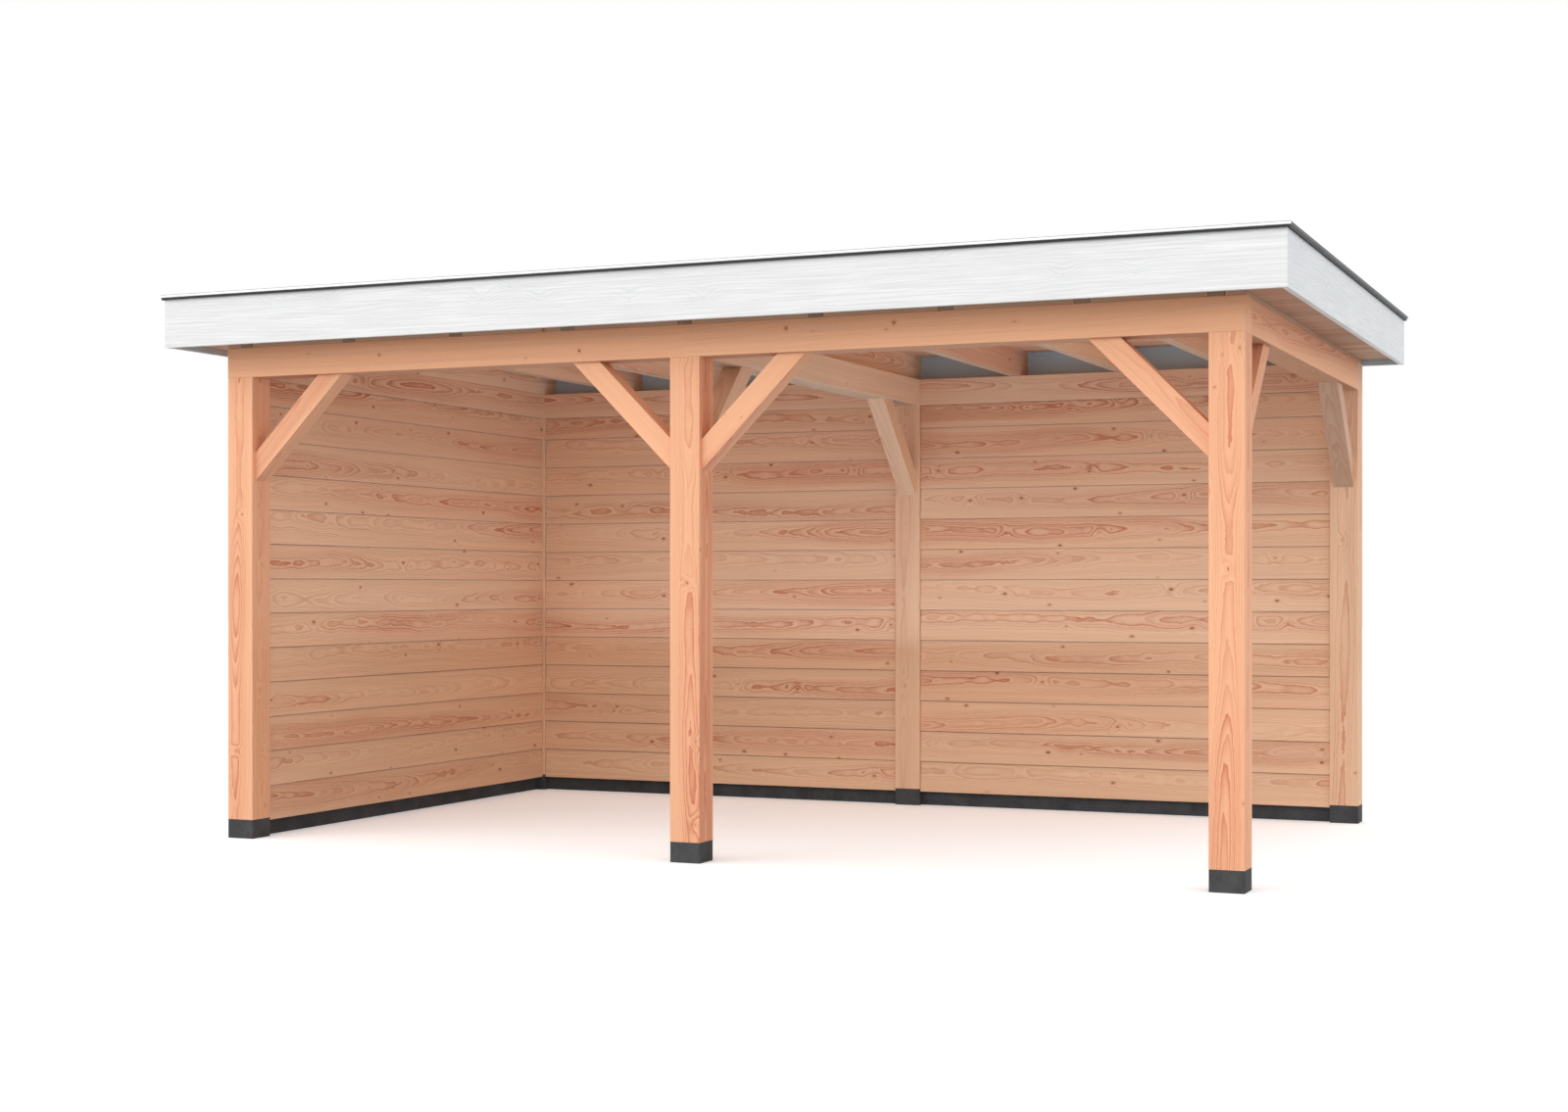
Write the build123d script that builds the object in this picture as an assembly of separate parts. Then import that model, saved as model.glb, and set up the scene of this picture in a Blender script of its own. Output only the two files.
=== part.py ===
import os

from build123d import *

# A double timber carport with a flat roof, from the ground up.
# Millimetres, +Z up. +X runs to the right seen from the open front, +Y to the rear.
# The origin is on the ground under the middle of the whole outline.

# Driving dimensions: the post grid
FRAME_LENGTH = 5120.0        # over the outer faces of the left and right posts
FRAME_DEPTH = 3150.0         # over the outer faces of the front and rear posts
POST_SIZE = 150.0            # square section of posts
BEAM_HEIGHT = 150.0
UNDER_BEAM = 2324.0          # from the ground to the underside of the beams
PIER_HEIGHT = 95.0
PIER_ARRIS = 5.0             # rounding of the concrete edges
EASED_EDGE = 2.0             # chamfer on the long edges of the planed timber

# Driving dimensions: the braces
BRACE_SIZE = 100.0           # square section
BRACE_REACH = 520.0          # from the corner to the far edge, along post and beam

# Driving dimensions: the clad walls and the planks under them
WALL_THICKNESS = 130.0       # over the boards on both sides
WALL_GAP = 80.0              # from the ground to the lowest board
PLINTH_THICKNESS = 40.0

# Driving dimensions: the roof
RAFTER_STEPS = 4             # spaces between rafters over each of the two bays
RAFTER_WIDTH = 65.0
RAFTER_HEIGHT = 145.0
RIGHT_RAFTER_SHIFT = 40.0    # how far the inner rafters of the right bay sit off even spacing
DECK_THICKNESS = 18.0
MEMBRANE_THICKNESS = 3.0
FRONT_OVERHANG = 225.0       # from the front posts to the outer face of the fascia
SIDE_OVERHANG = 215.0
FASCIA_HEIGHT = 240.0
FASCIA_THICKNESS = 25.0
FASCIA_DROP = 8.0            # lower edge of the fascia under the top of the beams
SOFFIT_THICKNESS = 18.0
SOFFIT_LIFT = 20.0           # underside of the soffit above the top of the beams

# Driving dimensions: the metal edge trim
TRIM_PROJECTION = 18.0       # beyond the outer face of the fascia
TRIM_HEIGHT = 22.0           # above the top of the fascia
TRIM_WALL = 3.0
TRIM_LIP = 3.0               # how far the trim reaches down in front of the fascia
TRIM_SEAT = 45.0             # how far the trim lies inwards from the outer face of the fascia

# Levels
BEAM_TOP = UNDER_BEAM + BEAM_HEIGHT
FASCIA_BOTTOM = BEAM_TOP - FASCIA_DROP
FASCIA_TOP = FASCIA_BOTTOM + FASCIA_HEIGHT
SOFFIT_BOTTOM = BEAM_TOP + SOFFIT_LIFT
SOFFIT_TOP = SOFFIT_BOTTOM + SOFFIT_THICKNESS
DECK_BOTTOM = BEAM_TOP + RAFTER_HEIGHT
DECK_TOP = DECK_BOTTOM + DECK_THICKNESS
TRIM_TOP = FASCIA_TOP + TRIM_HEIGHT

# Places: the rear fascia hangs straight on the rear beam, so the roof reaches further in front
REAR_OVERHANG = FASCIA_THICKNESS
GRID_SHIFT = (FRONT_OVERHANG - REAR_OVERHANG) / 2
FRONT_FACE = GRID_SHIFT - FRAME_DEPTH / 2
REAR_FACE = FRONT_FACE + FRAME_DEPTH
LEFT_FACE = -FRAME_LENGTH / 2
RIGHT_FACE = FRAME_LENGTH / 2
POST_X = {
    "left": LEFT_FACE + POST_SIZE / 2,
    "middle": 0.0,
    "right": RIGHT_FACE - POST_SIZE / 2,
}
POST_Y = {
    "front": FRONT_FACE + POST_SIZE / 2,
    "rear": REAR_FACE - POST_SIZE / 2,
}
BETWEEN_Y = (FRONT_FACE + POST_SIZE, REAR_FACE - POST_SIZE)
ROOF_X = (LEFT_FACE - SIDE_OVERHANG, RIGHT_FACE + SIDE_OVERHANG)
ROOF_Y = (FRONT_FACE - FRONT_OVERHANG, REAR_FACE + REAR_OVERHANG)
INNER_X = (ROOF_X[0] + FASCIA_THICKNESS, ROOF_X[1] - FASCIA_THICKNESS)
INNER_Y = (ROOF_Y[0] + FASCIA_THICKNESS, ROOF_Y[1] - FASCIA_THICKNESS)
RAFTER_X = (LEFT_FACE + POST_SIZE - RAFTER_WIDTH, RIGHT_FACE - POST_SIZE + RAFTER_WIDTH)
TRIM_X = (ROOF_X[0] - TRIM_PROJECTION, ROOF_X[1] + TRIM_PROJECTION)
TRIM_Y = (ROOF_Y[0] - TRIM_PROJECTION, ROOF_Y[1] + TRIM_PROJECTION)


def block(x, y, z):
    """A plain block between two values on each axis."""
    middle = Pos((x[0] + x[1]) / 2, (y[0] + y[1]) / 2, (z[0] + z[1]) / 2)
    return middle * Box(x[1] - x[0], y[1] - y[0], z[1] - z[0])


def around(centre, size):
    """Low and high value of a size about its centre."""
    return (centre - size / 2, centre + size / 2)


def eased(timber, axis):
    """A timber with its long edges eased."""
    return chamfer(timber.edges().filter_by(axis), EASED_EDGE)


def pier(x, y):
    """Concrete foot with rounded edges that carries a post."""
    foot = block(around(x, POST_SIZE), around(y, POST_SIZE), (0, PIER_HEIGHT))
    return fillet(foot.edges().filter_by(Axis.Z), PIER_ARRIS)


def post(x, y):
    timber = block(around(x, POST_SIZE), around(y, POST_SIZE), (PIER_HEIGHT, UNDER_BEAM))
    return eased(timber, Axis.Z)


def beam_along_x(x, y):
    timber = block(x, around(y, POST_SIZE), (UNDER_BEAM, BEAM_TOP))
    return eased(timber, Axis.X)


def beam_along_y(x):
    timber = block(around(x, POST_SIZE), BETWEEN_Y, (UNDER_BEAM, BEAM_TOP))
    return eased(timber, Axis.Y)


def brace(corner, plane, sense):
    """A strut at 45 degrees from a post to the underside of a beam.

    The corner is where the face of the post meets the beam. The sense is +1 or -1 for the
    way the strut runs along the beam, which lies along the first axis of the plane.
    """
    near = BRACE_REACH - BRACE_SIZE * 2 ** 0.5
    far = BRACE_REACH
    outline = Polyline((sense * near, 0), (sense * far, 0), (0, -far), (0, -near), close=True)
    return Pos(*corner) * extrude(plane * make_face(outline), BRACE_SIZE / 2, both=True)


def rafter(x):
    """A rafter whose tail is cut back over the front soffit."""
    whole = block(around(x, RAFTER_WIDTH), INNER_Y, (BEAM_TOP, DECK_BOTTOM))
    cut = block(around(x, 2 * RAFTER_WIDTH), (INNER_Y[0] - 1, FRONT_FACE), (BEAM_TOP - 1, SOFFIT_TOP))
    return whole - cut


def trim_section(outward):
    """Section of the edge trim, in the plane across the fascia. Outward is +1 or -1."""
    out = TRIM_PROJECTION
    inner = out - TRIM_WALL
    points = [
        (-TRIM_SEAT, FASCIA_TOP),
        (0, FASCIA_TOP),
        (0, TRIM_TOP - TRIM_WALL),
        (inner, TRIM_TOP - TRIM_WALL),
        (inner, FASCIA_TOP - TRIM_LIP),
        (out, FASCIA_TOP - TRIM_LIP),
        (out, TRIM_TOP),
        (-TRIM_WALL, TRIM_TOP),
        (-TRIM_WALL, FASCIA_TOP + TRIM_WALL),
        (-TRIM_SEAT, FASCIA_TOP + TRIM_WALL),
    ]
    return [(outward * across, height) for across, height in points]


def mitre(corners, inwards):
    """Footprint of one trim: its outer corners and, at 45 degrees, its inner ones."""
    (start, end) = corners
    depth = TRIM_PROJECTION + TRIM_SEAT
    along = ((end[0] > start[0]) - (end[0] < start[0]), (end[1] > start[1]) - (end[1] < start[1]))
    inner = [
        (start[0] + depth * (along[0] + inwards[0]), start[1] + depth * (along[1] + inwards[1])),
        (end[0] - depth * (along[0] - inwards[0]), end[1] - depth * (along[1] - inwards[1])),
    ]
    outline = Polyline(start, end, inner[1], inner[0], close=True)
    low = FASCIA_TOP - TRIM_LIP
    return Pos(0, 0, low) * extrude(make_face(outline), TRIM_TOP - low)


def trim_along_x(y, outward):
    face = make_face(Plane.YZ * Polyline(*trim_section(outward), close=True))
    bar = Pos(0, y, 0) * extrude(face, TRIM_X[1], both=True)
    edge = y + outward * TRIM_PROJECTION
    return bar & mitre([(TRIM_X[0], edge), (TRIM_X[1], edge)], (0, -outward))


def trim_along_y(x, outward):
    face = make_face(Plane.XZ * Polyline(*trim_section(outward), close=True))
    bar = Pos(x, 0, 0) * extrude(face, TRIM_Y[1], both=True)
    edge = x + outward * TRIM_PROJECTION
    return bar & mitre([(edge, TRIM_Y[0]), (edge, TRIM_Y[1])], (-outward, 0))


nodes = {}

# Six posts on their concrete feet
for row, y in POST_Y.items():
    for side, x in POST_X.items():
        nodes[f"pier_{row}_{side}"] = pier(x, y)
        nodes[f"post_{row}_{side}"] = post(x, y)

# Beams: the front and rear ones in two lengths that meet over the middle post
for row, y in POST_Y.items():
    nodes[f"beam_{row}_left"] = beam_along_x((LEFT_FACE, 0), y)
    nodes[f"beam_{row}_right"] = beam_along_x((0, RIGHT_FACE), y)
for side, x in POST_X.items():
    nodes[f"beam_{side}"] = beam_along_y(x)

# Braces: four in the open front, two in the middle frame and two in the open right side
for name, side, sense in (
    ("brace_front_left", "left", 1),
    ("brace_front_middle_left", "middle", -1),
    ("brace_front_middle_right", "middle", 1),
    ("brace_front_right", "right", -1),
):
    corner = (POST_X[side] + sense * POST_SIZE / 2, POST_Y["front"], UNDER_BEAM)
    nodes[name] = brace(corner, Plane.XZ, sense)
for side in ("middle", "right"):
    for row, sense in (("front", 1), ("rear", -1)):
        corner = (POST_X[side], POST_Y[row] + sense * POST_SIZE / 2, UNDER_BEAM)
        nodes[f"brace_{side}_{row}"] = brace(corner, Plane.YZ, sense)

# Clad walls on the left and at the rear, each between two posts and over its own plank
WALL_LEVELS = (WALL_GAP, UNDER_BEAM)
PLINTH_LEVELS = (0, WALL_GAP)
REAR_BAYS = {
    "rear_left": (POST_X["left"] + POST_SIZE / 2, POST_X["middle"] - POST_SIZE / 2),
    "rear_right": (POST_X["middle"] + POST_SIZE / 2, POST_X["right"] - POST_SIZE / 2),
}
nodes["wall_left"] = block(around(POST_X["left"], WALL_THICKNESS), BETWEEN_Y, WALL_LEVELS)
nodes["plinth_left"] = block(around(POST_X["left"], PLINTH_THICKNESS), BETWEEN_Y, PLINTH_LEVELS)
for bay, x in REAR_BAYS.items():
    nodes[f"wall_{bay}"] = block(x, around(POST_Y["rear"], WALL_THICKNESS), WALL_LEVELS)
    nodes[f"plinth_{bay}"] = block(x, around(POST_Y["rear"], PLINTH_THICKNESS), PLINTH_LEVELS)

# Rafters from the front fascia to the rear one, resting on the beams. The outermost are flush
# with the inner faces of the side beams, and one lies on the middle beam.
side_rafter = RAFTER_X[1] - RAFTER_WIDTH / 2
rafter_spacing = side_rafter / RAFTER_STEPS
left_bay = [-rafter_spacing * step for step in range(1, RAFTER_STEPS)]
right_bay = [rafter_spacing * step + RIGHT_RAFTER_SHIFT for step in range(1, RAFTER_STEPS)]
rafter_places = sorted([-side_rafter, 0.0, side_rafter] + left_bay + right_bay)
nodes["rafters"] = Compound(children=[rafter(x) for x in rafter_places])

# Roof deck and its rubber membrane, inside the fascia
nodes["roof_deck"] = block(INNER_X, INNER_Y, (DECK_BOTTOM, DECK_TOP))
nodes["roof_membrane"] = block(INNER_X, INNER_Y, (DECK_TOP, DECK_TOP + MEMBRANE_THICKNESS))

# Soffit boards that close the overhang from below
SOFFIT_LEVELS = (SOFFIT_BOTTOM, SOFFIT_TOP)
nodes["soffit_front"] = block(INNER_X, (INNER_Y[0], FRONT_FACE), SOFFIT_LEVELS)
nodes["soffit_left"] = block((INNER_X[0], RAFTER_X[0]), (FRONT_FACE, INNER_Y[1]), SOFFIT_LEVELS)
nodes["soffit_right"] = block((RAFTER_X[1], INNER_X[1]), (FRONT_FACE, INNER_Y[1]), SOFFIT_LEVELS)

# Fascia boards: the front and rear ones cover the ends of the side ones
FASCIA_LEVELS = (FASCIA_BOTTOM, FASCIA_TOP)
nodes["fascia_front"] = block(ROOF_X, (ROOF_Y[0], INNER_Y[0]), FASCIA_LEVELS)
nodes["fascia_rear"] = block(ROOF_X, (INNER_Y[1], ROOF_Y[1]), FASCIA_LEVELS)
nodes["fascia_left"] = block((ROOF_X[0], INNER_X[0]), INNER_Y, FASCIA_LEVELS)
nodes["fascia_right"] = block((INNER_X[1], ROOF_X[1]), INNER_Y, FASCIA_LEVELS)

# Metal edge trim on the fascia, mitred at the corners
nodes["trim_front"] = trim_along_x(ROOF_Y[0], -1)
nodes["trim_rear"] = trim_along_x(ROOF_Y[1], 1)
nodes["trim_left"] = trim_along_y(ROOF_X[0], -1)
nodes["trim_right"] = trim_along_y(ROOF_X[1], 1)

os.makedirs("parts", exist_ok=True)
for name, shape in nodes.items():
    export_step(shape, f"parts/{name}.step")
    size = shape.bounding_box()
    print(name, [round(v, 1) for v in (*size.min, *size.max)])
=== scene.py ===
import math
import random

import bpy
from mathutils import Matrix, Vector


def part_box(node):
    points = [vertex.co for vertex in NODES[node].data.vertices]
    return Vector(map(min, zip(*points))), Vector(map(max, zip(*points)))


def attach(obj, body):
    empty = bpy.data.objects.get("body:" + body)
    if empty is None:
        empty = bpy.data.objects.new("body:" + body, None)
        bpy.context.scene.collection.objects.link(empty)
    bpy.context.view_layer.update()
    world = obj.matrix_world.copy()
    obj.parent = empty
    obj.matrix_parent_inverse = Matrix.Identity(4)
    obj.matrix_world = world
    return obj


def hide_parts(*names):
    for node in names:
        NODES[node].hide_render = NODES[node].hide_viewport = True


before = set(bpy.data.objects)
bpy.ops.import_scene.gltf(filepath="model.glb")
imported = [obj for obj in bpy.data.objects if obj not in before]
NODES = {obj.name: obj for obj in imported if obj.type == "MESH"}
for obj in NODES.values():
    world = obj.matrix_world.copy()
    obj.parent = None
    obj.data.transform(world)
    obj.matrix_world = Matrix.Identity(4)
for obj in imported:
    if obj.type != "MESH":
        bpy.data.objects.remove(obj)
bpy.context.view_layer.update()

X, Y, Z = Vector((1, 0, 0)), Vector((0, 1, 0)), Vector((0, 0, 1))
QUARTER = math.pi / 2
dice = random.Random(41)

# Camera, fitted to the photograph's own perspective
CAMERA_PLACE = (4.4171, -10.6969, 1.2624)
CAMERA_HEADING = 0.4192
CAMERA_LENS = 51.118
CAMERA_SHIFT = (0.0244, 0.0205)

# Lights and the level at which they reach the object
SKY_COLOR = (0.97, 0.985, 1.0, 1)
SKY_STRENGTH = 1.0
WHITE = (1, 1, 1, 1)
SUNS = (
    # name, direction towards the light, strength, angle in degrees
    ("sun_front", (0.0, -1.0, 0.30), 0.62, 50),
    ("sun_left", (-0.8, -0.8, 0.5), 0.78, 50),
    ("sun_right", (1.0, -0.25, 0.12), 0.46, 40),
)
FILLS = (
    # name, place, size, direction of its light, power in watts, colour
    ("fill_roof", (0.0, 0.1, 0.9), (4.4, 2.6), (0, 0, 1), 21.0, (0.72, 0.97, 1.2)),
)
FLOOR_HALF = 60.0
FLOOR_LIT = (0.50, 0.50, 0.50, 1)
FLOOR_SEEN = (0.97, 0.97, 0.97, 1)
FLOOR_GLOW = 0.25

# Colours of the timber: early wood and late wood
TIMBER = ((0.85, 0.455, 0.27, 1), (0.60, 0.20, 0.10, 1))
# Painted light: paler, less red copies of the timber colours for the timbers, rafters and boards
# in the shade
SHADE_PALED_TIMBER = ((0.84, 0.57, 0.395, 1), (0.58, 0.23, 0.125, 1))
CLAD = ((0.84, 0.548, 0.364, 1), (0.58, 0.22, 0.116, 1))
ROOFED = ((0.89, 0.65, 0.475, 1), (0.61, 0.28, 0.16, 1))
SAP_TINT = (1.04, 1.04, 1.01, 1)
HEART_TINT = (0.98, 0.91, 0.89, 1)
RED_TINT = (0.98, 0.84, 0.80, 1)
KNOT_BROWN = (0.34, 0.115, 0.055, 1)
# Painted shade: the factor that darkens the faces of timbers and rafters that look down
UNDERSIDE_PAINTED_SHADE = 0.60
# Painted shade on the ends of the rafters that show over the front beam
BEAM_SHADE = 0.40

# Knots and rings of the wood, in metres
KNOT_CELLS = 5.2
KNOT_STRETCH = 0.62
KNOT_RADIUS = 0.0075
KNOT_LEAST = 0.0012
KNOT_EDGE = 0.0012
KNOT_RAGGED = 0.004
KNOT_HALO = 0.014
BEND_REACH = 0.045
BEND = 0.009
RING_WOBBLE = 0.009
HEART_EDGE = (0.095, 0.14)
WOOD_RELIEF = 0.00018

# Colours of the other parts
PAINT = ((0.675, 0.673, 0.663, 1), (0.852, 0.85, 0.842, 1))
PAINT_WORN = (0.575, 0.585, 0.58, 1)
PAINT_CLOUD = (0.76, 0.765, 0.745, 1)
PAINT_DOT = (0.50, 0.50, 0.47, 1)
# Painted shade: blue-grey paint for the fascia faces that look inwards
INNER_PAINT_SHADE = ((0.50, 0.68, 0.82, 1), (0.55, 0.73, 0.87, 1))
SHADED_PAINT = (1.01, 1.025, 1.055, 1)
RUBBER = ((0.023, 0.023, 0.024, 1), (0.040, 0.039, 0.037, 1))
# Painted light and shade: a pale copy of the aluminium for the front and rear trims, a dark copy
# for the side trims
TRIM_PAINTED_LIT = (0.86, 0.865, 0.87, 1)
TRIM_PAINTED_SHADE = (0.115, 0.117, 0.12, 1)
# Painted shade in the groove under the nose of the trim
GROOVE_PAINTED_SHADE = (0.022, 0.022, 0.024, 1)
PIER_GREY = (0.051, 0.051, 0.052)
PLINTH_GREY = (0.050, 0.050, 0.052)

# Weatherboards and the studs behind them
EXPOSURE = 0.176
BOARD_HEIGHT = 0.193
BOARD_FOOT = 0.023
BOARD_TOP = 0.0105
REBATE_HIGH = 0.019
REBATE_DEEP = 0.012
STUD_HALF = 0.042
STUD_WIDTH = 0.044
STUD_SPACING = 0.6
STUD_ARRIS = 0.002
STUD_TONE = (0.94, 0.3, 0.5)
PLATE_FOOT = 0.006
PLATE_ROOM = 0.050
WALL_CLEAR = 0.001

# Planks of the roof, and the strips under them
DECK_WIDTH = 0.146
SOFFIT_WIDTH = 0.14
SOFFIT_GROOVE = 0.004
PLANK_ARRIS = 0.002
PACKER = 0.040
# Painted shade: the strips on the side beams get a darker tone
PACKER_TONE = (0.72, 0.3, 0.6)
STOP_THICK = 0.018
STOP_GAP = 0.003
# Painted shade: the strips in the slot over the front beam get a darker tone
STOP_TONE = (0.72, 0.2, 0.7)
SEAT_CLEAR = 0.0003
RAFTER_HALF = 0.0325
RAFTER_PLACES = (-2.4425, -1.8319, -1.2213, -0.6106, 0.0, 0.6506, 1.2613, 1.8719, 2.4425)
RAFTER_PITCH = 0.61
RAFTER_MIDDLE = 2.545

# Rubber sheet and edge trim
SHEET_CELLS = (56, 34)
SHEET_INSET = 0.0015
SHEET_THICK = 0.0012
SHEET_LIFT = 0.0016
SHEET_SWELL = 0.0016
NOSE_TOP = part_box("trim_front")[1].z
GROOVE_TOP = NOSE_TOP - 0.0135

# Knots that show in the photograph, by timber: place on the face and radius, in metres
KNOTS = {
    "post_front_left": (((-2.472, -1.475, 1.634), 0.0045), ((-2.509, -1.475, 0.442), 0.0045)),
    "post_front_middle": (((0.013, -1.475, 1.286), 0.0065), ((0.058, -1.475, 0.559), 0.0035)),
    "post_front_right": (((2.435, -1.475, 2.096), 0.0045),),
    "post_rear_right": (((2.545, 1.525, 0.272), 0.0045),),
    "beam_front_left": (((-1.655, -1.475, 2.405), 0.0065), ((-0.547, -1.475, 2.376), 0.0065)),
    "beam_front_right": (((0.506, -1.475, 2.432), 0.0085), ((1.022, -1.475, 2.433), 0.0085)),
    "brace_front_left": (((-2.076, -1.440, 2.162), 0.006),),
    "brace_front_middle_right": (((0.195, -1.440, 2.052), 0.005),),
}

# Timbers that the sun doesn't reach get paler, less red colours than the others: painted light
# that offsets the reddish light bounced between them
OWN_COLORS = {
    "beam_middle": ROOFED,
    "beam_left": SHADE_PALED_TIMBER, "beam_rear_left": SHADE_PALED_TIMBER, "beam_rear_right": SHADE_PALED_TIMBER,
    "post_rear_left": SHADE_PALED_TIMBER, "post_rear_middle": CLAD, "post_rear_right": CLAD,
    "brace_middle_front": SHADE_PALED_TIMBER, "brace_middle_rear": CLAD, "brace_right_rear": SHADE_PALED_TIMBER,
}
OWN_CONTRAST = {
    "post_rear_middle": 0.4, "brace_right_rear": 0.4, "beam_right": 0.9,
    "beam_left": 0.9, "beam_rear_left": 0.9, "beam_rear_right": 0.9,
}
OWN_PITH = {
    "beam_right": (0.0, 0.02, 0.05), "beam_left": (0.0, 0.0, 0.012),
    "beam_rear_left": (0.0, 0.0, 0.012), "beam_rear_right": (0.0, 0.0, 0.012),
}
# Painted shade: this brace is made darker for the shade that falls on it
OWN_PAINTED_SHADE = {"brace_right_rear": 0.80}

# Which way each brace rises along its axis
BRACE_RISE = {
    "brace_front_left": 1, "brace_front_middle_left": -1,
    "brace_front_middle_right": 1, "brace_front_right": -1,
    "brace_middle_front": 1, "brace_middle_rear": -1,
    "brace_right_front": 1, "brace_right_rear": -1,
}


def link(piece):
    bpy.context.scene.collection.objects.link(piece)
    return piece


def make_camera():
    data = bpy.data.cameras.new("camera")
    data.sensor_width = 36.0
    data.lens = CAMERA_LENS
    data.shift_x, data.shift_y = CAMERA_SHIFT
    data.clip_start = 0.1
    data.clip_end = 500.0
    camera = link(bpy.data.objects.new("camera", data))
    camera.location = CAMERA_PLACE
    camera.rotation_euler = (math.radians(90), 0, CAMERA_HEADING)
    bpy.context.scene.camera = camera


# Node trees

class Graph:
    """Short hand for making one node tree."""

    def __init__(self, tree):
        self.tree = tree

    def put(self, socket, value):
        if isinstance(value, bpy.types.NodeSocket):
            self.tree.links.new(value, socket)
        else:
            socket.default_value = value

    def node(self, kind, inputs=None, **settings):
        node = self.tree.nodes.new("ShaderNode" + kind)
        for name, value in settings.items():
            setattr(node, name, value)
        for name, value in (inputs or {}).items():
            self.put(node.inputs[name], value)
        return node

    def math(self, operation, *values):
        return self.node("Math", dict(enumerate(values)), operation=operation).outputs[0]

    def times(self, a, b):
        return self.math("MULTIPLY", a, b)

    def scale_add(self, value, factor, term):
        """Value times factor, plus term."""
        return self.math("MULTIPLY_ADD", value, factor, term)

    def vector(self, operation, *values):
        return self.node("VectorMath", dict(enumerate(values)), operation=operation).outputs[0]

    def stretch(self, vector, factors):
        return self.vector("MULTIPLY", vector, factors)

    def rotate(self, vector, turn):
        inputs = {"Vector": vector, "Rotation": turn}
        return self.node("VectorRotate", inputs, rotation_type="EULER_XYZ").outputs[0]

    def length(self, value):
        return self.node("VectorMath", {0: value}, operation="LENGTH").outputs["Value"]

    def split(self, value):
        return self.node("SeparateXYZ", {0: value}).outputs

    def join(self, x, y, z):
        return self.node("CombineXYZ", {0: x, 1: y, 2: z}).outputs[0]

    def place(self):
        """Where a point lies on the object, in metres."""
        return self.node("TexCoord").outputs["Object"]

    def kept(self, name):
        """A vector that the mesh keeps on its vertices."""
        return self.node("Attribute", attribute_name=name).outputs["Vector"]

    def noise_node(self, vector, scale, detail, roughness):
        inputs = {"Vector": vector, "Scale": scale, "Detail": detail, "Roughness": roughness}
        return self.node("TexNoise", inputs)

    def noise(self, vector, scale=1.0, detail=2.0, roughness=0.5):
        return self.noise_node(vector, scale, detail, roughness).outputs[0]

    def cells(self, vector, scale):
        """Distance to the nearest of scattered points in a plane, and that point's luck."""
        inputs = {"Vector": vector, "Scale": scale}
        cells = self.node("TexVoronoi", inputs, voronoi_dimensions="2D").outputs
        return self.math("DIVIDE", cells["Distance"], scale), cells["Color"]

    def luck(self, number):
        return self.node("TexWhiteNoise", {"W": number}, noise_dimensions="1D").outputs

    def channels(self, color):
        return self.node("SeparateColor", {0: color}).outputs

    def fade(self, value, low, high, start=0.0, end=1.0):
        """Smooth step of a value between two limits."""
        inputs = {
            "Value": value, "From Min": low, "From Max": high, "To Min": start, "To Max": end,
        }
        return self.node("MapRange", inputs, interpolation_type="SMOOTHSTEP").outputs[0]

    def mix(self, factor, a, b, blend="MIX"):
        node = self.node("Mix", data_type="RGBA", blend_type=blend)
        self.put(node.inputs[0], factor)
        self.put(node.inputs[6], a)
        self.put(node.inputs[7], b)
        return node.outputs[2]

    def seen_rays(self):
        """One for rays that end in the picture, also by way of a mirror or glass."""
        path = self.node("LightPath").outputs
        bent = self.math("MAXIMUM", path["Is Glossy Ray"], path["Is Transmission Ray"])
        return self.math("MAXIMUM", path["Is Camera Ray"], bent)


def scaled(color, factor):
    return tuple(c * factor for c in color[:3]) + (1,)


def new_group(name, inputs, outputs):
    """An empty node group with typed sockets, and the graph that fills it."""
    tree = bpy.data.node_groups.new(name, "ShaderNodeTree")
    for label, kind in inputs:
        tree.interface.new_socket(label, in_out="INPUT", socket_type="NodeSocket" + kind)
    for label, kind in outputs:
        tree.interface.new_socket(label, in_out="OUTPUT", socket_type="NodeSocket" + kind)
    graph = Graph(tree)
    source = tree.nodes.new("NodeGroupInput").outputs
    sink = tree.nodes.new("NodeGroupOutput").inputs
    return tree, graph, source, sink


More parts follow.
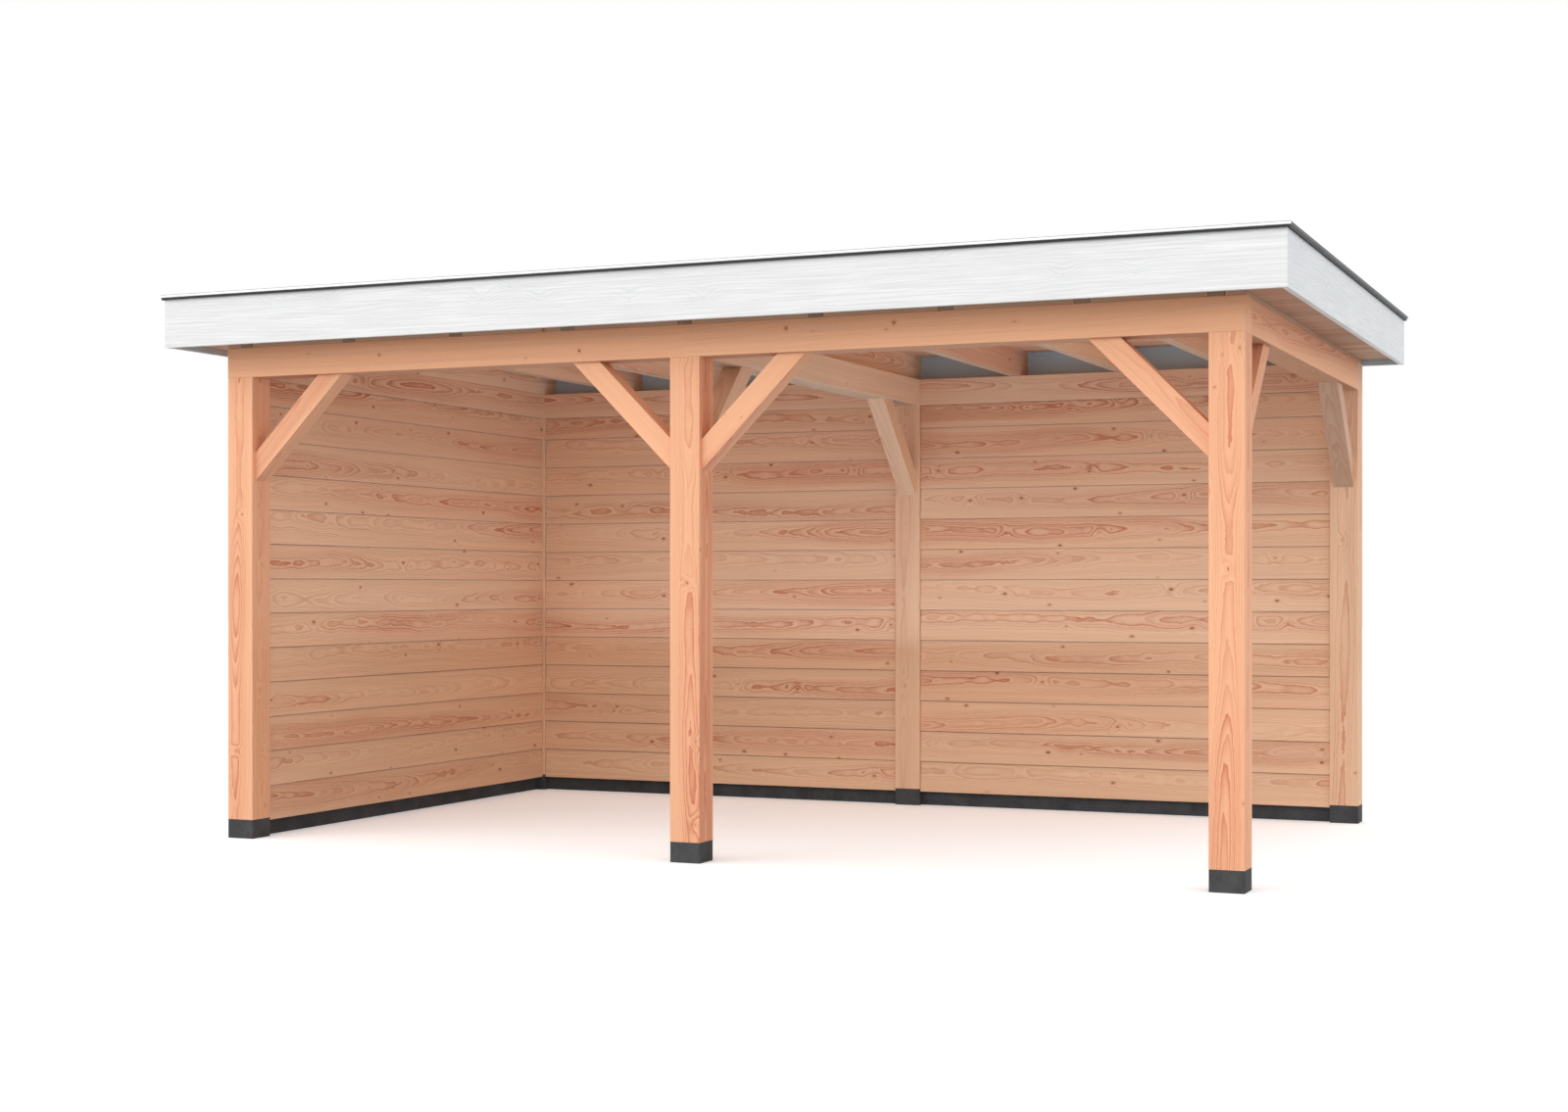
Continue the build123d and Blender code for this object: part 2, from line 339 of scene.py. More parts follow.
def make_wood_group():
    """Sawn fir. Grain is (along, across, depth) in metres, with the pith at a given offset.

    Seed moves the pattern to another part of the tree. Tone is (brightness, redness, contrast).
    Spread is how far round the timber a point lies. Knot is the distance in metres to the
    nearest knot that has a place of its own, and Knots is how common the others are.
    """
    tree, g, source, sink = new_group(
        "sawn_wood",
        [
            ("Grain", "Vector"), ("Seed", "Float"), ("Pith", "Vector"), ("Tone", "Vector"),
            ("Spread", "Vector"), ("Spacing", "Float"), ("Swing", "Float"), ("Knot", "Float"),
            ("Knots", "Float"), ("Shade", "Float"),
            ("Light", "Color"), ("Dark", "Color"), ("Brown", "Color"),
        ],
        [("Color", "Color"), ("Height", "Float"), ("Polish", "Float")],
    )
    seed = source["Seed"]
    along, across, depth = g.split(source["Grain"])
    far = g.scale_add(seed, 61.7, along)
    grain = g.join(far, across, depth)
    bright, red, contrast = g.split(source["Tone"])

    # Knots: cells in a plane that is stretched along the grain, some with a knot, some without
    spread = g.split(source["Spread"])
    place = g.join(g.times(far, KNOT_STRETCH), g.scale_add(seed, 17.3, spread[0]), 0.0)
    reach, color = g.cells(place, KNOT_CELLS)
    chance = g.channels(color)
    radius = g.times(g.fade(g.times(chance[0], source["Knots"]), 0.3, 1.0), KNOT_RADIUS)
    reach = g.math("SUBTRACT", reach, radius)
    hidden = g.math("SUBTRACT", 1.0, g.math("GREATER_THAN", radius, KNOT_LEAST))
    reach = g.math("ADD", reach, hidden)
    reach = g.math("MINIMUM", reach, source["Knot"])
    ragged = g.noise(g.stretch(source["Grain"], (90.0, 140.0, 140.0)), detail=1.0)
    reach = g.math("ADD", reach, g.scale_add(ragged, KNOT_RAGGED, -KNOT_RAGGED / 2))
    knot = g.fade(reach, -KNOT_EDGE, KNOT_EDGE, 1.0, 0.0)
    halo = g.fade(reach, 0.0, KNOT_HALO, 1.0, 0.0)
    push = g.fade(reach, 0.0, BEND_REACH, BEND, 0.0)

    # Rings round a pith that wanders along the timber, in a trunk that tapers
    slow = g.noise_node(g.stretch(grain, (0.85, 2.0, 2.0)), 1.0, 1.0, 0.5).outputs[1]
    wander = g.split(g.vector("SUBTRACT", slow, (0.5, 0.5, 0.5)))
    pith = g.split(source["Pith"])
    quick = g.noise(g.join(g.times(far, 3.6), seed, 0.0), roughness=0.6)
    lot = g.math("SUBTRACT", g.luck(seed)["Value"], 0.5)
    taper = g.scale_add(g.math("SIGN", lot), 0.010, g.times(lot, 0.045))
    side = g.scale_add(wander[0], 0.10, g.math("SUBTRACT", across, pith[1]))
    deep = g.scale_add(wander[1], 0.04, g.math("SUBTRACT", depth, pith[2]))
    deep = g.scale_add(quick, source["Swing"], deep)
    deep = g.scale_add(taper, along, deep)
    ring = g.length(g.join(0.0, side, deep))
    wobble = g.noise(g.stretch(grain, (5.0, 22.0, 22.0)), detail=4.0, roughness=0.68)
    ring = g.math("ADD", g.scale_add(wobble, RING_WOBBLE, ring), push)
    count = g.math("DIVIDE", ring, source["Spacing"])
    late = g.math("POWER", g.math("FRACT", count), 2.0)
    which = g.math("ADD", g.math("FLOOR", count), g.times(seed, 7.0))
    late = g.times(late, g.scale_add(g.luck(which)["Value"], 0.8, 0.4))

    # Zones of heartwood and sapwood, long faint streaks, and fibres
    streak = g.noise(g.stretch(grain, (1.1, 42.0, 42.0)), detail=3.0, roughness=0.6)
    zone = g.noise(g.stretch(grain, (0.9, 7.0, 7.0)), detail=1.0)
    fibre = g.noise(g.stretch(grain, (28.0, 900.0, 900.0)), roughness=0.7)
    heart = g.fade(g.scale_add(zone, 0.07, ring), *HEART_EDGE, 1.0, 0.0)

    amount = g.times(g.times(late, g.scale_add(heart, 0.75, 0.55)), contrast)
    amount = g.math("MAXIMUM", amount, g.times(halo, 0.40))
    color = g.mix(g.math("MINIMUM", amount, 1.0), source["Light"], source["Dark"])
    color = g.mix(1.0, color, g.mix(heart, SAP_TINT, HEART_TINT), "MULTIPLY")
    color = g.mix(g.times(red, 0.85), color, RED_TINT, "MULTIPLY")
    value = g.scale_add(fibre, 0.12, g.math("SUBTRACT", bright, 0.17))
    value = g.times(g.scale_add(streak, 0.22, value), source["Shade"])
    color = g.vector("MULTIPLY", color, g.join(value, value, value))
    solid = g.times(knot, g.scale_add(chance[1], 0.35, 0.6))
    g.put(sink["Color"], g.mix(solid, color, source["Brown"]))
    height = g.scale_add(late, 0.35, g.times(fibre, 0.65))
    g.put(sink["Height"], g.math("SUBTRACT", height, g.times(knot, 0.8)))
    g.put(sink["Polish"], g.scale_add(late, -0.10, g.scale_add(fibre, 0.16, 0.60)))
    return tree


WOOD = make_wood_group()


# Materials

def new_material(name):
    material = bpy.data.materials.new(name)
    material.use_nodes = True
    material.node_tree.nodes.clear()
    return material, Graph(material.node_tree)


def surface(g, color, roughness, height, rise, specular=0.35, metallic=0.0):
    """Principled shader with relief. Rise is the height of the relief in metres."""
    bump = g.node("Bump", {"Height": height, "Distance": rise, "Strength": 1.0})
    shader = g.node("BsdfPrincipled", {
        "Base Color": color, "Roughness": roughness, "Metallic": metallic,
        "Specular IOR Level": specular, "Normal": bump.outputs[0],
    })
    g.node("OutputMaterial", {"Surface": shader.outputs[0]})


def wood_shader(
    g, colors, grain, seed, tone, spread, pith,
    knot=1.0, spacing=0.006, swing=0.01, knots=1.0, shade=1.0,
):
    wood = g.node("Group", node_tree=WOOD)
    for label, value in (
        ("Grain", grain), ("Seed", seed), ("Tone", tone), ("Spread", spread), ("Pith", pith),
        ("Knot", knot), ("Spacing", spacing), ("Swing", swing), ("Knots", knots),
        ("Shade", shade), ("Light", colors[0]), ("Dark", colors[1]), ("Brown", KNOT_BROWN),
    ):
        g.put(wood.inputs[label], value)
    surface(g, wood.outputs["Color"], wood.outputs["Polish"], wood.outputs["Height"], WOOD_RELIEF)


def painted_underside_shade(g):
    """Painted shade: the faces that look down are darkened."""
    level = g.split(g.node("NewGeometry").outputs["Normal"])[2]
    return g.fade(level, -0.9, -0.6, UNDERSIDE_PAINTED_SHADE, 1.0)


def timber_material(name, colors, middle, turn, pith, tone, knots):
    """Wood for one planed timber of the CAD model, which keeps its own shape.

    Middle is a point on its axis. Turn brings its length to the first axis. Knots are
    places on its faces, each with a radius, all in metres.
    """
    material, g = new_material("timber_" + name)
    position = g.place()
    grain = g.rotate(g.vector("SUBTRACT", position, middle), turn)
    parts = g.split(grain)
    angle = g.math("ARCTAN2", parts[1], parts[2])
    spread = g.join(g.times(angle, 0.095), 0.0, 0.0)
    nearest = 1.0
    for place, radius in knots:
        offset = g.vector("SUBTRACT", position, place)
        distance = g.math("SUBTRACT", g.length(offset), radius)
        nearest = g.math("MINIMUM", nearest, distance)
    seed = dice.uniform(1, 60)
    wood_shader(
        g, colors, grain, seed, tone, spread, pith, nearest,
        spacing=0.0058, swing=0.006, knots=0.66, shade=painted_underside_shade(g),
    )
    return material


def board_material(name, colors, joint=None):
    """Wood for boards made as one mesh, with a grain and a tone kept on every vertex.

    Joint is the height on a board at which the next one covers it. A band under that height and
    the board's own foot are darkened as painted shade.
    """
    material, g = new_material(name)
    grain, tone = g.kept("grain"), g.kept("tone")
    seed, pith_side, pith_depth = g.split(g.kept("tree"))
    across = g.split(grain)[1]
    pith = g.join(0.0, pith_side, pith_depth)
    shade = 1.0
    if joint:
        # Painted shade: a dark band under the next board's foot, and at this board's own foot
        over = g.fade(across, joint - 0.006, joint - 0.001, 1.0, 0.6)
        shade = g.times(over, g.fade(across, 0.0, 0.002, 0.6, 1.0))
    wood_shader(
        g, colors, grain, seed, tone, g.join(across, 0.0, 0.0), pith,
        spacing=0.0056, swing=0.024, shade=shade,
    )
    return material


def rafter_material():
    """One timber after the other along X, each with its own seed and tone.

    The ends that show over the front beam, and the faces that look down, are darkened as painted
    shade.
    """
    material, g = new_material("timber_rafters")
    x, y, z = g.split(g.place())
    index = g.math("ROUND", g.math("DIVIDE", g.math("ADD", x, -0.02), RAFTER_PITCH))
    luck = g.luck(index)
    rolls = g.channels(luck["Color"])
    sideways = g.math("SUBTRACT", x, g.times(index, RAFTER_PITCH))
    grain = g.join(y, g.math("ADD", z, -RAFTER_MIDDLE), sideways)
    tone = g.join(
        g.scale_add(rolls[0], 0.12, 0.96), g.times(rolls[1], 0.3), g.scale_add(rolls[2], 0.5, 0.6))
    seed = g.times(luck["Value"], 50.0)
    pith = g.join(0.0, g.scale_add(rolls[2], 0.16, -0.08), 0.09)
    spread = g.join(g.split(grain)[1], 0.0, 0.0)
    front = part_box("beam_front_left")[0].y
    # Painted shade on the rafter ends over the front beam
    ends = g.fade(y, front + 0.002, front + 0.012, BEAM_SHADE, 1.0)
    shade = g.times(painted_underside_shade(g), ends)
    wood_shader(g, ROOFED, grain, seed, tone, spread, pith, knots=0.95, shade=shade)
    return material


def concrete_material(name, color):
    """Smooth grey concrete with pale and dark grains and pores."""
    material, g = new_material(name)
    position = g.place()
    cloud = g.noise(position, 7.0, 4.0, 0.6)
    speck = g.noise(position, 260.0, 2.0, 0.6)
    grains = g.node("TexVoronoi", {"Vector": position, "Scale": 190.0}).outputs["Distance"]
    pale = g.times(g.fade(grains, 0.16, 0.30, 1.0, 0.0), 0.55)
    pore = g.fade(g.noise(position, 120.0), 0.30, 0.37, 1.0, 0.0)
    tint = g.mix(g.fade(cloud, 0.3, 0.7), scaled(color, 0.72), scaled(color, 1.34))
    for amount, factor in (
        (g.fade(speck, 0.35, 0.7, 0.0, 0.5), 1.9),
        (g.times(pale, g.fade(cloud, 0.4, 0.65)), 2.6),
        (g.times(pore, 0.7), 0.35),
    ):
        tint = g.mix(amount, tint, scaled(color, factor))
    height = g.math("SUBTRACT", g.times(speck, 0.6), pore)
    surface(g, tint, g.fade(speck, 0.2, 0.8, 0.72, 0.92), height, 0.0006, 0.25)
    return material


def paint_material(name, turn, seed, inwards, cast=WHITE):
    """White stain on sawn boards: streaks of grain and a few whorls show through.

    The faces that look inwards get a darker blue-grey copy of the paint, as painted shade.
    """
    material, g = new_material(name)
    along, _, depth = g.split(g.rotate(g.place(), turn))
    far = g.math("ADD", along, seed)
    grain = g.join(far, 0.0, depth)
    reach, _ = g.cells(g.join(g.times(far, 0.75), depth, 0.0), 3.4)
    push = g.fade(reach, 0.0, 0.075, 0.030, 0.0)
    slow = g.noise(g.stretch(grain, (1.1, 0.0, 5.0)))
    ring = g.math("ADD", g.scale_add(slow, 0.09, depth), push)
    ring = g.scale_add(g.noise(g.stretch(grain, (5.0, 0.0, 30.0))), 0.008, ring)
    late = g.math("POWER", g.math("FRACT", g.math("DIVIDE", ring, 0.015)), 2.0)
    streak = g.noise(g.stretch(grain, (2.2, 0.0, 85.0)), detail=4.0, roughness=0.7)
    cloud = g.noise(g.stretch(grain, (1.4, 0.0, 9.0)))
    worn = g.times(late, g.fade(cloud, 0.3, 0.7, 0.2, 1.0))
    worn = g.times(worn, g.fade(reach, 0.03, 0.14, 1.0, 0.6))
    lines = g.fade(streak, 0.30, 0.70)
    tint = g.mix(lines, *PAINT)
    tint = g.mix(worn, tint, PAINT_WORN)
    tint = g.mix(g.fade(cloud, 0.35, 0.65, 0.0, 0.35), tint, PAINT_CLOUD)
    tint = g.mix(g.fade(reach, 0.002, 0.006, 0.35, 0.0), tint, PAINT_DOT)
    tint = g.mix(1.0, tint, cast, "MULTIPLY")
    # Painted shade on the faces that look inwards
    normal = g.node("NewGeometry").outputs["Normal"]
    facing = g.node("VectorMath", {0: normal, 1: inwards}, operation="DOT_PRODUCT")
    inner = g.math("GREATER_THAN", facing.outputs["Value"], 0.5)
    tint = g.mix(inner, tint, g.mix(lines, *INNER_PAINT_SHADE))
    height = g.scale_add(late, -0.5, streak)
    surface(g, tint, g.fade(streak, 0.2, 0.8, 0.46, 0.62), height, 0.0003, 0.4)
    return material


def metal_material(name, bright):
    """Anodised aluminium with a drawn grain and a little grime. The groove and the top of the nose
    are darkened as painted shade.
    """
    material, g = new_material(name)
    position = g.place()
    level = g.split(position)[2]
    grime = g.noise(position, 9.0, 3.0, 0.6)
    drawn = g.noise(g.stretch(position, (6.0, 6.0, 900.0)))
    tint = g.mix(g.fade(grime, 0.35, 0.75), bright, scaled(bright, 0.85))
    # Painted shade in the groove
    tint = g.mix(g.fade(level, GROOVE_TOP - 0.001, GROOVE_TOP, 1.0, 0.0), tint, GROOVE_PAINTED_SHADE)
    # Painted shade along the top of the nose
    tint = g.mix(g.fade(level, NOSE_TOP - 0.004, NOSE_TOP - 0.002), tint, scaled(bright, 0.35))
    surface(g, tint, g.scale_add(drawn, 0.14, 0.46), drawn, 0.00008, 0.4, 0.35)
    return material


def rubber_material():
    """Dark rubber sheet with a little dust."""
    material, g = new_material("rubber_membrane")
    position = g.place()
    dust = g.noise(position, 2.6, 6.0, 0.7)
    fine = g.noise(position, 420.0)
    tint = g.mix(g.fade(dust, 0.35, 0.75), *RUBBER)
    surface(g, tint, g.fade(dust, 0.3, 0.8, 0.58, 0.82), fine, 0.0002, 0.3)
    return material


BOARDS = board_material("board_wood", SHADE_PALED_TIMBER)
CLADDING = board_material("cladding_wood", CLAD, EXPOSURE)
MEMBRANE = rubber_material()


# Pieces

def new_piece(name, points, faces, material):
    mesh = bpy.data.meshes.new(name)
    mesh.from_pydata([tuple(p) for p in points], [], faces)
    mesh.materials.append(material)
    return link(bpy.data.objects.new(name, mesh))


def keep(piece, replaced):
    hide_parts(replaced)
    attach(piece, "root")


class Pile:
    """Boards of one piece, joined into one mesh."""

    def __init__(self):
        self.points, self.faces, self.grain, self.tone, self.tree = [], [], [], [], []

    def board(self, start, along, rise, out, length, profile, tone, tree, steps=6, wave=0.0006):
        """Sweeps a profile of (rise, out) points along a board, slightly out of true."""
        first = len(self.points)
        count = len(profile)
        bend = [
            (dice.uniform(-wave, wave), dice.uniform(-wave, wave)) for _ in range(steps + 1)
        ]
        for step in range(steps + 1):
            reach = length * step / steps
            up, aside = bend[step]
            base = start + along * reach
            for high, deep in profile:
                self.points.append(base + rise * (high + up) + out * (deep + aside))
                self.grain.append((reach - length / 2, high, deep))
                self.tone.append(tone)
                self.tree.append(tree)
        for step in range(steps):
            low = first + step * count
            for i in range(count):
                j = (i + 1) % count
                self.faces.append((low + i, low + j, low + count + j, low + count + i))
        self.faces.append(tuple(first + i for i in reversed(range(count))))
        self.faces.append(tuple(first + steps * count + i for i in range(count)))

    def strip(self, start, along, rise, out, length, profile, tone):
        """A straight board with a tree of its own."""
        self.board(start, along, rise, out, length, profile, tone, some_tree(), steps=1, wave=0)

    def make(self, name, material, replaced):
        piece = new_piece(name, self.points, self.faces, material)
        mesh = piece.data
        for label, values in (("grain", self.grain), ("tone", self.tone), ("tree", self.tree)):
            layer = mesh.attributes.new(label, "FLOAT_VECTOR", "POINT")
            layer.data.foreach_set("vector", [c for v in values for c in v])
        mesh.validate()
        keep(piece, replaced)


def rectangle(width, thickness, arris=0.0012):
    """Profile of a planed board with its edges broken."""
    w, t, a = width, thickness, arris
    return [(a, 0), (w - a, 0), (w, a), (w, t - a), (w - a, t), (a, t), (0, t - a), (0, a)]


def some_tone(red=0.0):
    """Brightness, redness and contrast of the rings of one board."""
    return (
        1.0 + dice.uniform(-0.035, 0.035),
        red + dice.random() ** 1.6 * 0.28,
        dice.uniform(0.85, 1.3),
    )


def some_tree(width=EXPOSURE):
    """Seed, and where the pith lies across and behind a flat sawn board."""
    return (
        dice.uniform(1, 90),
        width / 2 + dice.uniform(-0.045, 0.045),
        -dice.uniform(0.03, 0.075),
    )


# Clad walls: tapered weatherboards on both sides of studs and plates

def weatherboard(height):
    """Profile of a rebated weatherboard cut to a height, from the stud face outwards."""
    top = BOARD_FOOT + (BOARD_TOP - BOARD_FOOT) * height / BOARD_HEIGHT
    return [
        (0.0, REBATE_DEEP), (REBATE_HIGH, REBATE_DEEP), (REBATE_HIGH, 0.0), (height, 0.0),
        (height, top - 0.001), (height - 0.001, top), (0.0028, BOARD_FOOT - 0.0002),
        (0.0012, BOARD_FOOT - 0.0008), (0.0, BOARD_FOOT - 0.0022),
    ]


def clad_wall(name, start, along, out, length, bottom, top):
    """One wall bay. Start is on the wall's middle line at the ground, out is one of its sides."""
    pile = Pile()
    for side in (out, -out):
        level = bottom
        while level < top - 0.02:
            height = min(BOARD_HEIGHT, top - level - WALL_CLEAR)
            gap_start, gap_end = dice.uniform(0.0006, 0.003), dice.uniform(0.0006, 0.003)
            base = start + along * gap_start + Z * level + side * STUD_HALF
            pile.board(
                base, along, Z, side, length - gap_start - gap_end, weatherboard(height),
                some_tone(red=0.0 if side is out else 0.55), some_tree(), steps=8,
            )
            level += EXPOSURE
    stud = rectangle(2 * STUD_HALF, STUD_WIDTH, STUD_ARRIS)
    inner = -out * STUD_HALF
    for level in (bottom + PLATE_FOOT, top - PLATE_ROOM):
        base = start + along * WALL_CLEAR + inner + Z * level
        pile.strip(base, along, out, Z, length - 2 * WALL_CLEAR, stud, STUD_TONE)
    count = max(2, round(length / STUD_SPACING) + 1)
    run = length - STUD_WIDTH - 2 * WALL_CLEAR
    for i in range(count):
        reach = WALL_CLEAR + run * i / (count - 1)
        base = start + along * reach + inner + Z * (bottom + PLATE_ROOM)
        pile.strip(base, Z, out, along, top - bottom - 2 * PLATE_ROOM, stud, STUD_TONE)
    pile.make(name + "_boards", CLADDING, name)


def make_walls():
    low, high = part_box("wall_left")
    base = Vector(((low.x + high.x) / 2, low.y, 0))
    clad_wall("wall_left", base, Y, X, high.y - low.y, low.z, high.z)
    for name in ("wall_rear_left", "wall_rear_right"):
        low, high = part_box(name)
        base = Vector((low.x, (low.y + high.y) / 2, 0))
        clad_wall(name, base, X, -Y, high.x - low.x, low.z, high.z)


# Roof: planks of the deck, boards of the overhang, rubber sheet, edge trim

def planks(pile, low, high, width, lengths=1, groove=0.0015, tones=some_tone):
    """Fills a flat box with planks along X, side by side, each cut in a number of lengths."""
    size = high - low
    count = max(1, round(size.y / width))
    actual = size.y / count
    profile = rectangle(actual - groove, high.z - low.z, PLANK_ARRIS)
    for i in range(count):
        cuts = [size.x * (k + dice.uniform(-0.18, 0.18)) / lengths for k in range(1, lengths)]
        for begin, end in zip([0.0] + cuts, cuts + [size.x]):
            start = low + X * (begin + 0.0005) + Y * (actual * i + groove / 2)
            pile.board(
                start, X, Y, Z, end - begin - 0.001, profile,
                tones(), some_tree(width), steps=2, wave=0.0,
            )


def stops(pile, low, high):
    """Strips that close the slot over the front beam between the rafters."""
    sides = [x + way * RAFTER_HALF for x in RAFTER_PLACES for way in (-1, 1)]
    edges = [low.x] + sides + [high.x]
    profile = rectangle(STOP_THICK, high.z - low.z)
    for begin, end in zip(edges[::2], edges[1::2]):
        base = Vector((begin + STOP_GAP, low.y, low.z))
        pile.strip(base, X, Y, Z, end - begin - 2 * STOP_GAP, profile, STOP_TONE)


def packer(pile, left, top):
    """Strip on a side beam under the boards of the overhang."""
    low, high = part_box("beam_left" if left else "beam_front_right")
    edge = low.x if left else high.x - PACKER
    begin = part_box("beam_front_right")[0].y + STOP_THICK + 0.0005
    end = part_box("beam_rear_right")[1].y
    profile = rectangle(PACKER, top - high.z - 2 * SEAT_CLEAR)
    base = Vector((edge, begin, high.z + SEAT_CLEAR))
    pile.strip(base, Y, X, Z, end - begin, profile, PACKER_TONE)


def make_roof():
    low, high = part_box("roof_deck")
    deck = Pile()
    planks(deck, low, high, DECK_WIDTH, lengths=2)
    deck.make("deck_planks", BOARDS, "roof_deck")
    # Painted shade: the boards under the overhang get a low brightness, lowest at the front
    for name, lengths, level, spread in (
        ("soffit_front", 3, 0.42, 0.02), ("soffit_left", 1, 0.58, 0.09),
        ("soffit_right", 1, 0.58, 0.09),
    ):
        def painted_shade_tone():
            return level + dice.uniform(-spread, spread), dice.uniform(0.0, 0.25), 0.8

        low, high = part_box(name)
        pile = Pile()
        planks(pile, low, high, SOFFIT_WIDTH, lengths, SOFFIT_GROOVE, painted_shade_tone)
        if name == "soffit_front":
            left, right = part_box("beam_front_left"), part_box("beam_front_right")
            stops(
                pile, Vector((left[0].x, left[0].y, left[1].z + SEAT_CLEAR)),
                Vector((right[1].x, left[1].y, low.z - SEAT_CLEAR)),
            )
        else:
            packer(pile, name == "soffit_left", low.z)
        pile.make(name + "_boards", BOARDS, name)


def make_membrane():
    """Rubber sheet over the deck, turned up against the inside of the fascia."""
    low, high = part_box("roof_membrane")
    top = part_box("trim_front")[0].z
    columns, rows = SHEET_CELLS
    wide = high.x - low.x - 2 * SHEET_INSET
    deep = high.y - low.y - 2 * SHEET_INSET
    points, faces = [], []
    for j in range(rows + 1):
        for i in range(columns + 1):
            u, v = i / columns, j / rows
            x = low.x + SHEET_INSET + wide * u
            y = low.y + SHEET_INSET + deep * v
            edge = min(u, 1 - u, v, 1 - v)
            waves = math.sin(x * 3.1 + 1.7 * math.sin(y * 2.3)) * math.sin(y * 2.7 + x)
            swell = SHEET_SWELL * waves * min(1, edge * 8)
            points.append((x, y, high.z + SHEET_LIFT + swell))
            if i < columns and j < rows:
                a = j * (columns + 1) + i
                faces.append((a, a + 1, a + columns + 2, a + columns + 1))
    border = list(range(columns + 1))
    border += [j * (columns + 1) + columns for j in range(1, rows + 1)]
    border += [rows * (columns + 1) + i for i in range(columns - 1, -1, -1)]
    border += [j * (columns + 1) for j in range(rows - 1, 0, -1)]
    first = len(points)
    points += [points[index][:2] + (top,) for index in border]
    count = len(border)
    for k in range(count):
        following = (k + 1) % count
        faces.append((border[k], border[following], first + following, first + k))
    piece = new_piece("membrane_sheet", points, faces, MEMBRANE)
    solid = piece.modifiers.new("thickness", "SOLIDIFY")
    solid.thickness = SHEET_THICK
    solid.offset = -1
    keep(piece, "roof_membrane")


def make_trim():
    """Edge trim with a bull nose and a groove under it, mitred at the corners."""
    low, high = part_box("fascia_front")
    half_x = high.x
    half_y = -low.y
    top = high.z
    profile = [
        # beyond the outer face of the fascia, and height
        (-0.045, top), (0.0, top), (0.0, top + 0.004), (0.0085, top + 0.004),
        (0.0085, top - 0.003), (0.0125, top - 0.003), (0.0125, GROOVE_TOP - 0.002),
        (0.0160, GROOVE_TOP), (0.0180, GROOVE_TOP + 0.002), (0.0180, NOSE_TOP - 0.0045),
        (0.0170, NOSE_TOP - 0.0018), (0.0145, NOSE_TOP), (-0.003, NOSE_TOP),
        (-0.003, top + 0.003), (-0.045, top + 0.003),
    ]
    count = len(profile)
    faces = [(i, i + count, (i + 1) % count + count, (i + 1) % count) for i in range(count)]
    faces += [tuple(range(count)), tuple(count + i for i in reversed(range(count)))]
    # Front and rear trims get the pale, painted-light copy, and the side trims the dark,
    # painted-shade copy
    for side, along, out, long, near, color in (
        ("front", X, -Y, half_x, half_y, TRIM_PAINTED_LIT), ("right", Y, X, half_y, half_x, TRIM_PAINTED_SHADE),
        ("rear", -X, Y, half_x, half_y, TRIM_PAINTED_LIT), ("left", -Y, -X, half_y, half_x, TRIM_PAINTED_SHADE),
    ):
        points = [
            along * (way * (long + u)) + out * (near + u) + Z * z
            for way in (-1, 1) for u, z in profile
        ]
        metal = metal_material("aluminium_" + side, color)
        piece = new_piece("edge_trim_" + side, points, faces, metal)
        piece.data.validate()
        keep(piece, "trim_" + side)


# Materials of the nodes that keep their CAD shape

def dress(node, material):
    mesh = NODES[node].data
    mesh.materials.clear()
    mesh.materials.append(material)


def lie_of(node, kind, size):
    """Turn that brings the length of a timber to the first axis."""
    if kind == "post":
        return 0.0, QUARTER, 0.0
    if kind == "beam":
        return (0.0, 0.0, 0.0) if size.x > size.y else (0.0, 0.0, QUARTER)
    slope = BRACE_RISE[node] * QUARTER / 2
    return (0.0, slope, 0.0) if size.x > 0.3 else (-slope, 0.0, QUARTER)


def dress_timbers():
    for node in NODES:
        kind = node.split("_")[0]
        reach = dice.uniform(0.12, 0.16) if kind == "beam" else dice.uniform(0.06, 0.09)
        pith = (0.0, dice.uniform(-0.05, 0.05), dice.choice((-1, 1)) * reach)
        if kind == "post":
            pith = (0.0, dice.uniform(-0.025, 0.025), dice.uniform(-0.025, 0.025))
        contrast = dice.uniform(0.75, 0.95) if kind == "post" else dice.uniform(0.65, 0.85)
        if kind == "brace":
            contrast *= 0.8
        bright = OWN_PAINTED_SHADE.get(node, 1.0) * dice.uniform(0.98, 1.02)
        tone = (bright, dice.uniform(0.0, 0.15), OWN_CONTRAST.get(node, contrast))
        if kind not in ("post", "beam", "brace"):
            continue
        low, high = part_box(node)
        turn = lie_of(node, kind, high - low)
        dress(node, timber_material(
            node, OWN_COLORS.get(node, TIMBER), (low + high) / 2, turn,
            OWN_PITH.get(node, pith), tone, KNOTS.get(node, ()),
        ))


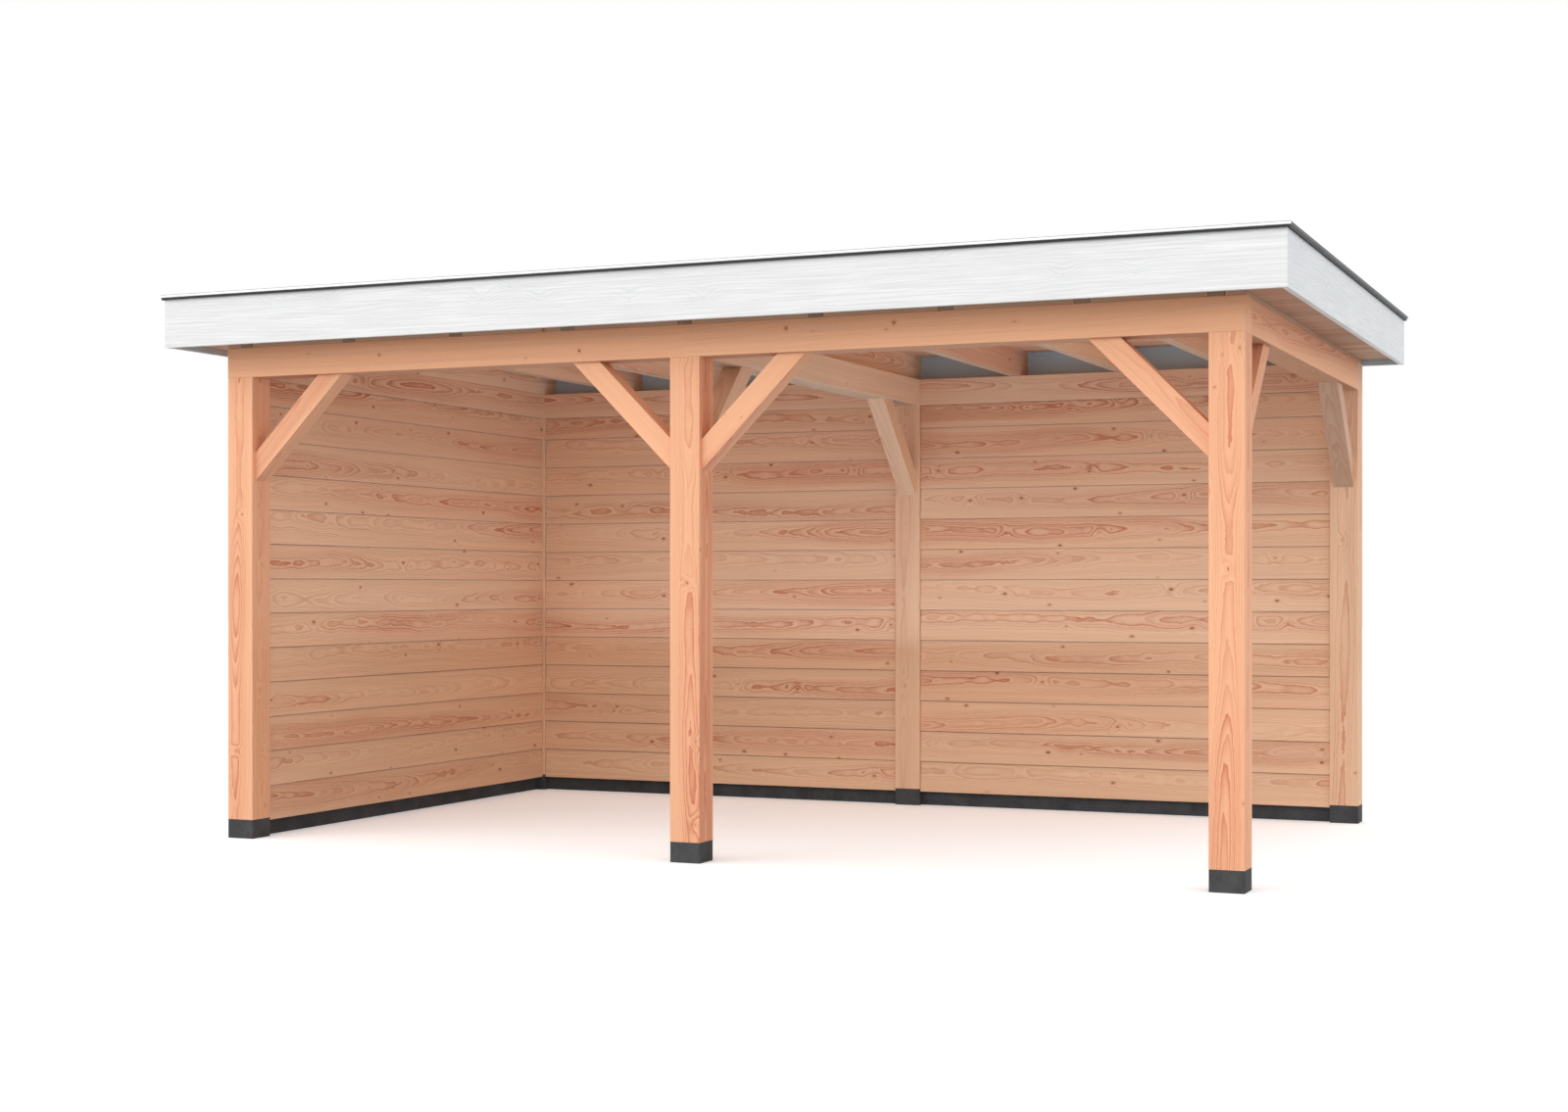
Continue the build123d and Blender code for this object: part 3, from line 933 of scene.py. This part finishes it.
def dress_others():
    pier = concrete_material("concrete_pier", PIER_GREY)
    plinth = concrete_material("concrete_plinth", PLINTH_GREY)
    for node in NODES:
        if node.startswith("pier"):
            dress(node, pier)
        elif node.startswith("plinth"):
            dress(node, plinth)
    dress("rafters", rafter_material())
    for side, heading, seed, inwards, cast in (
        ("front", 0.0, 3.1, Y, WHITE), ("rear", 0.0, 17.4, -Y, WHITE),
        ("left", QUARTER, 31.9, X, SHADED_PAINT), ("right", QUARTER, 44.2, -X, SHADED_PAINT),
    ):
        paint = paint_material("paint_" + side, (0.0, 0.0, heading), seed, inwards, cast)
        dress("fascia_" + side, paint)


# Studio: pale floor, white background, soft light

def make_world():
    world = bpy.data.worlds.new("studio")
    bpy.context.scene.world = world
    world.use_nodes = True
    world.node_tree.nodes.clear()
    g = Graph(world.node_tree)
    lit = g.node("Background", {"Color": SKY_COLOR, "Strength": SKY_STRENGTH})
    white = g.node("Background", {"Color": WHITE, "Strength": 1.0})
    both = g.node("MixShader", {0: g.seen_rays(), 1: lit.outputs[0], 2: white.outputs[0]})
    g.node("OutputWorld", {"Surface": both.outputs[0]})


def make_floor():
    material, g = new_material("floor_pale")
    seen = g.seen_rays()
    shader = g.node("BsdfDiffuse", {"Color": g.mix(seen, FLOOR_LIT, FLOOR_SEEN)})
    glow = g.node("Emission", {"Color": WHITE, "Strength": g.times(seen, FLOOR_GLOW)})
    both = g.node("AddShader", {0: shader.outputs[0], 1: glow.outputs[0]})
    g.node("OutputMaterial", {"Surface": both.outputs[0]})
    half = FLOOR_HALF
    corners = [(-half, -half, 0), (half, -half, 0), (half, half, 0), (-half, half, 0)]
    floor = new_piece("floor", corners, [(0, 1, 2, 3)], material)


def make_lights():
    for name, towards, strength, angle in SUNS:
        sun = bpy.data.lights.new(name, "SUN")
        sun.energy = strength
        sun.angle = math.radians(angle)
        lamp = link(bpy.data.objects.new(name, sun))
        lamp.rotation_euler = Vector(towards).to_track_quat("Z", "Y").to_euler()
    for name, place, size, aim, power, color in FILLS:
        area = bpy.data.lights.new(name, "AREA")
        area.shape = "RECTANGLE"
        area.size, area.size_y = size
        area.energy = power
        area.color = color
        lamp = link(bpy.data.objects.new(name, area))
        lamp.location = place
        lamp.rotation_euler = Vector(aim).to_track_quat("-Z", "Y").to_euler()
        lamp.visible_camera = False


make_camera()
make_world()
make_floor()
make_lights()
make_walls()
make_roof()
make_membrane()
make_trim()
dress_timbers()
dress_others()

bpy.context.scene.view_settings.view_transform = "Standard"
